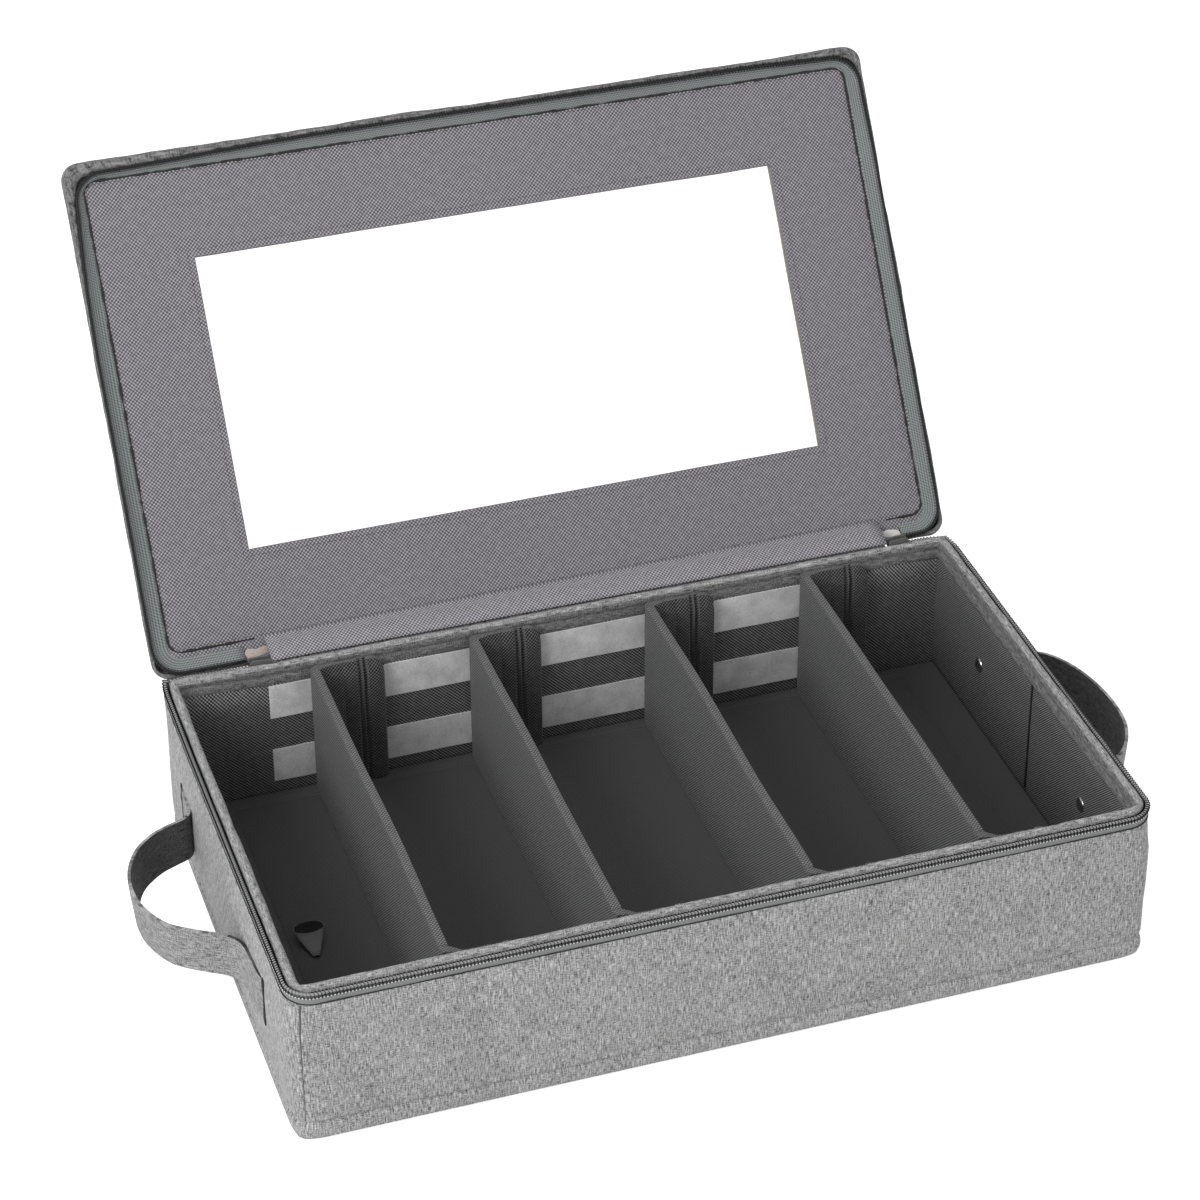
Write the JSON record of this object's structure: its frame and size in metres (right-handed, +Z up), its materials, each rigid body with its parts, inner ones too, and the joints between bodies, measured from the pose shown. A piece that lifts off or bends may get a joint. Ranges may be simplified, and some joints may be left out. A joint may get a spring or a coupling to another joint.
{
  "type": "silverware chest",
  "caption": "Low soft-sided case for cutlery with movable hook-and-loop dividers, end straps and a zip-round lid with a clear window.",
  "frame": {"origin": "centre of the base, on the surface that the case stands on", "axes": "+Z up, +X along the length towards the right end, +Y from the front towards the hinged back"},
  "size_m": [0.4792, 0.3909, 0.2836],
  "materials": {
    "outer_linen": "woven",
    "base_cloth": "woven",
    "greyboard": "matte",
    "dark_lining": "woven",
    "pale_lining": "woven",
    "loop_fabric": "napped",
    "hook_tape": "napped",
    "zip_tape": "woven",
    "zip_coil": "satin",
    "zip_metal": "satin",
    "rivet_steel": "polished",
    "strap_linen": "woven",
    "clear_film": "clear"
  },
  "bodies": {
    "case": {"outer_cover": "outer_linen", "cover_bottom": "base_cloth", "base_stiffener": "greyboard", "front_wall_board": "greyboard", "back_wall_board": "greyboard", "left_end_board_front": "greyboard", "left_end_board_rear": "greyboard", "right_end_board_front": "greyboard", "right_end_board_rear": "greyboard", "wall_lining": "dark_lining", "floor_lining": "dark_lining", "rim_binding": "outer_linen", "base_board_core": "greyboard", "base_board_sleeve": "dark_lining", "front_upper_loop_strip": "loop_fabric", "front_lower_loop_strip": "loop_fabric", "back_upper_loop_strip": "loop_fabric", "back_lower_loop_strip": "loop_fabric", "case_zip_tape": "zip_tape", "case_zip_coil": "zip_coil", "left_rivets": "rivet_steel", "right_rivets": "rivet_steel", "left_rivet_washers": "rivet_steel", "right_rivet_washers": "rivet_steel", "left_strap_tails": "strap_linen", "right_strap_tails": "strap_linen", "left_strap_roots": "strap_linen", "right_strap_roots": "strap_linen", "hinge_lining": "pale_lining", "hinge_cover": "outer_linen"},
    "lid": {"lid_cover": "outer_linen", "lid_board": "greyboard", "lid_lining": "pale_lining", "lid_window": "clear_film", "lid_zip_tape": "zip_tape", "lid_zip_coil": "zip_coil", "left_zip_end_tab": "zip_tape", "right_zip_end_tab": "zip_tape"},
    "divider_1": {"divider_1_sleeve": "dark_lining", "divider_1_boards": "greyboard", "divider_1_hook_strips": "hook_tape"},
    "divider_2": {"divider_2_sleeve": "dark_lining", "divider_2_boards": "greyboard", "divider_2_hook_strips": "hook_tape"},
    "divider_3": {"divider_3_sleeve": "dark_lining", "divider_3_boards": "greyboard", "divider_3_hook_strips": "hook_tape"},
    "divider_4": {"divider_4_sleeve": "dark_lining", "divider_4_boards": "greyboard", "divider_4_hook_strips": "hook_tape"},
    "left_strap": {"left_strap_loop": "strap_linen"},
    "left_slider": {"left_zip_slider": "zip_metal"},
    "left_pull": {"left_zip_pull": "zip_metal"},
    "right_strap": {"right_strap_loop": "strap_linen"},
    "right_slider": {"right_zip_slider": "zip_metal"},
    "right_pull": {"right_zip_pull": "zip_metal"},
    "base_tab": {"base_pull_tab": "dark_lining"}
  },
  "joints": [
    {"name": "lid_hinge", "type": "hinge", "parent": "case", "child": "lid", "pos_m": [0, 0.1235, 0.0812], "axis": [-1, 0, 0], "range_deg": [-124, 56], "deforming": ["hinge_lining", "hinge_cover"]},
    {"name": "divider_1_slide", "type": "slide", "parent": "case", "child": "divider_1", "axis": [1, 0, 0], "range_m": [-0.024, 0.041]},
    {"name": "divider_2_slide", "type": "slide", "parent": "case", "child": "divider_2", "axis": [1, 0, 0], "range_m": [-0.041, 0.051]},
    {"name": "divider_3_slide", "type": "slide", "parent": "case", "child": "divider_3", "axis": [1, 0, 0], "range_m": [-0.051, 0.043]},
    {"name": "divider_4_slide", "type": "slide", "parent": "case", "child": "divider_4", "axis": [1, 0, 0], "range_m": [-0.043, 0.015]},
    {"name": "left_strap_hinge", "type": "hinge", "parent": "case", "child": "left_strap", "pos_m": [-0.2, 0, 0.0435], "axis": [0, 1, 0], "range_deg": [-30, 45], "deforming": ["left_strap_roots"]},
    {"name": "right_strap_hinge", "type": "hinge", "parent": "case", "child": "right_strap", "pos_m": [0.2, 0, 0.0435], "axis": [0, -1, 0], "range_deg": [-30, 45], "deforming": ["right_strap_roots"]},
    {"name": "base_tab_hinge", "type": "hinge", "parent": "case", "child": "base_tab", "pos_m": [-0.163, -0.015, 0.0123], "axis": [1, 0, 0], "range_deg": [0, 180]},
    {"name": "left_slider_slide", "type": "slide", "parent": "case", "child": "left_slider", "axis": [-1, 0, 0], "range_m": [0, 0.029]},
    {"name": "right_slider_slide", "type": "slide", "parent": "case", "child": "right_slider", "axis": [1, 0, 0], "range_m": [0, 0.008]},
    {"name": "left_pull_hinge", "type": "hinge", "parent": "left_slider", "child": "left_pull", "pos_m": [-0.1518, 0.12335, 0.0818], "axis": [-1, 0, 0], "range_deg": [-55, 0]},
    {"name": "right_pull_hinge", "type": "hinge", "parent": "right_slider", "child": "right_pull", "pos_m": [0.1728, 0.12335, 0.0818], "axis": [-1, 0, 0], "range_deg": [-55, 0]}
  ]
}
